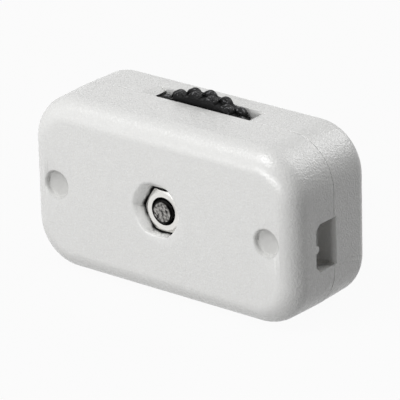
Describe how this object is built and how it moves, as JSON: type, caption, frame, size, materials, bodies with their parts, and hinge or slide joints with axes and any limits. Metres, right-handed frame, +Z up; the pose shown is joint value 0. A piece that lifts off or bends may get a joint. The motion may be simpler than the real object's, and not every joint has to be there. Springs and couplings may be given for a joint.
{
  "type": "inline cord switch",
  "caption": "White inline lamp-cord switch: two moulded halves clamped by a screw and a hex nut round a black knobbed thumbwheel, with a cord entry at each end.",
  "frame": {"origin": "middle of the overall box's underside: on the floor, under the middle of the housing", "axes": "+X along the cord, -Y out of the front face with the nut, +Z up, towards the thumbwheel"},
  "size_m": [0.05, 0.018, 0.0298],
  "materials": {
    "white_housing": "moulded, semi-gloss",
    "black_wheel": "moulded, matte",
    "plated_steel": "bright plated",
    "contact_brass": "stamped",
    "contact_silver": "polished",
    "spring_steel": "blued strip"
  },
  "bodies": {
    "rear_half": {"rear_housing": "white_housing", "click_spring": "spring_steel", "left_contact_strip": "contact_brass", "left_contact_button": "contact_silver", "left_inner_pin": "contact_brass", "left_outer_pin": "contact_brass", "right_contact_strip": "contact_brass", "right_contact_button": "contact_silver", "right_inner_pin": "contact_brass", "right_outer_pin": "contact_brass"},
    "front_half": {"front_housing": "white_housing", "hex_nut": "plated_steel"},
    "wheel": {"thumbwheel": "black_wheel", "contact_bridge": "contact_brass", "upper_bridge_rivet": "contact_brass", "lower_bridge_rivet": "contact_brass"},
    "screw": {"clamp_screw": "plated_steel"}
  },
  "joints": [
    {"name": "wheel_turn", "type": "hinge", "parent": "rear_half", "child": "wheel", "pos_m": [0, 0.0025, 0.01545], "axis": [0, 1, 0], "continuous": true, "deforming": ["click_spring"]},
    {"name": "screw_turn", "type": "hinge", "parent": "rear_half", "child": "screw", "pos_m": [0, 0.00692, 0.01388], "axis": [0, 1, 0], "continuous": true},
    {"name": "front_half_lift", "type": "slide", "parent": "rear_half", "child": "front_half", "axis": [0, -1, 0], "range_m": [0, 0.03]}
  ]
}
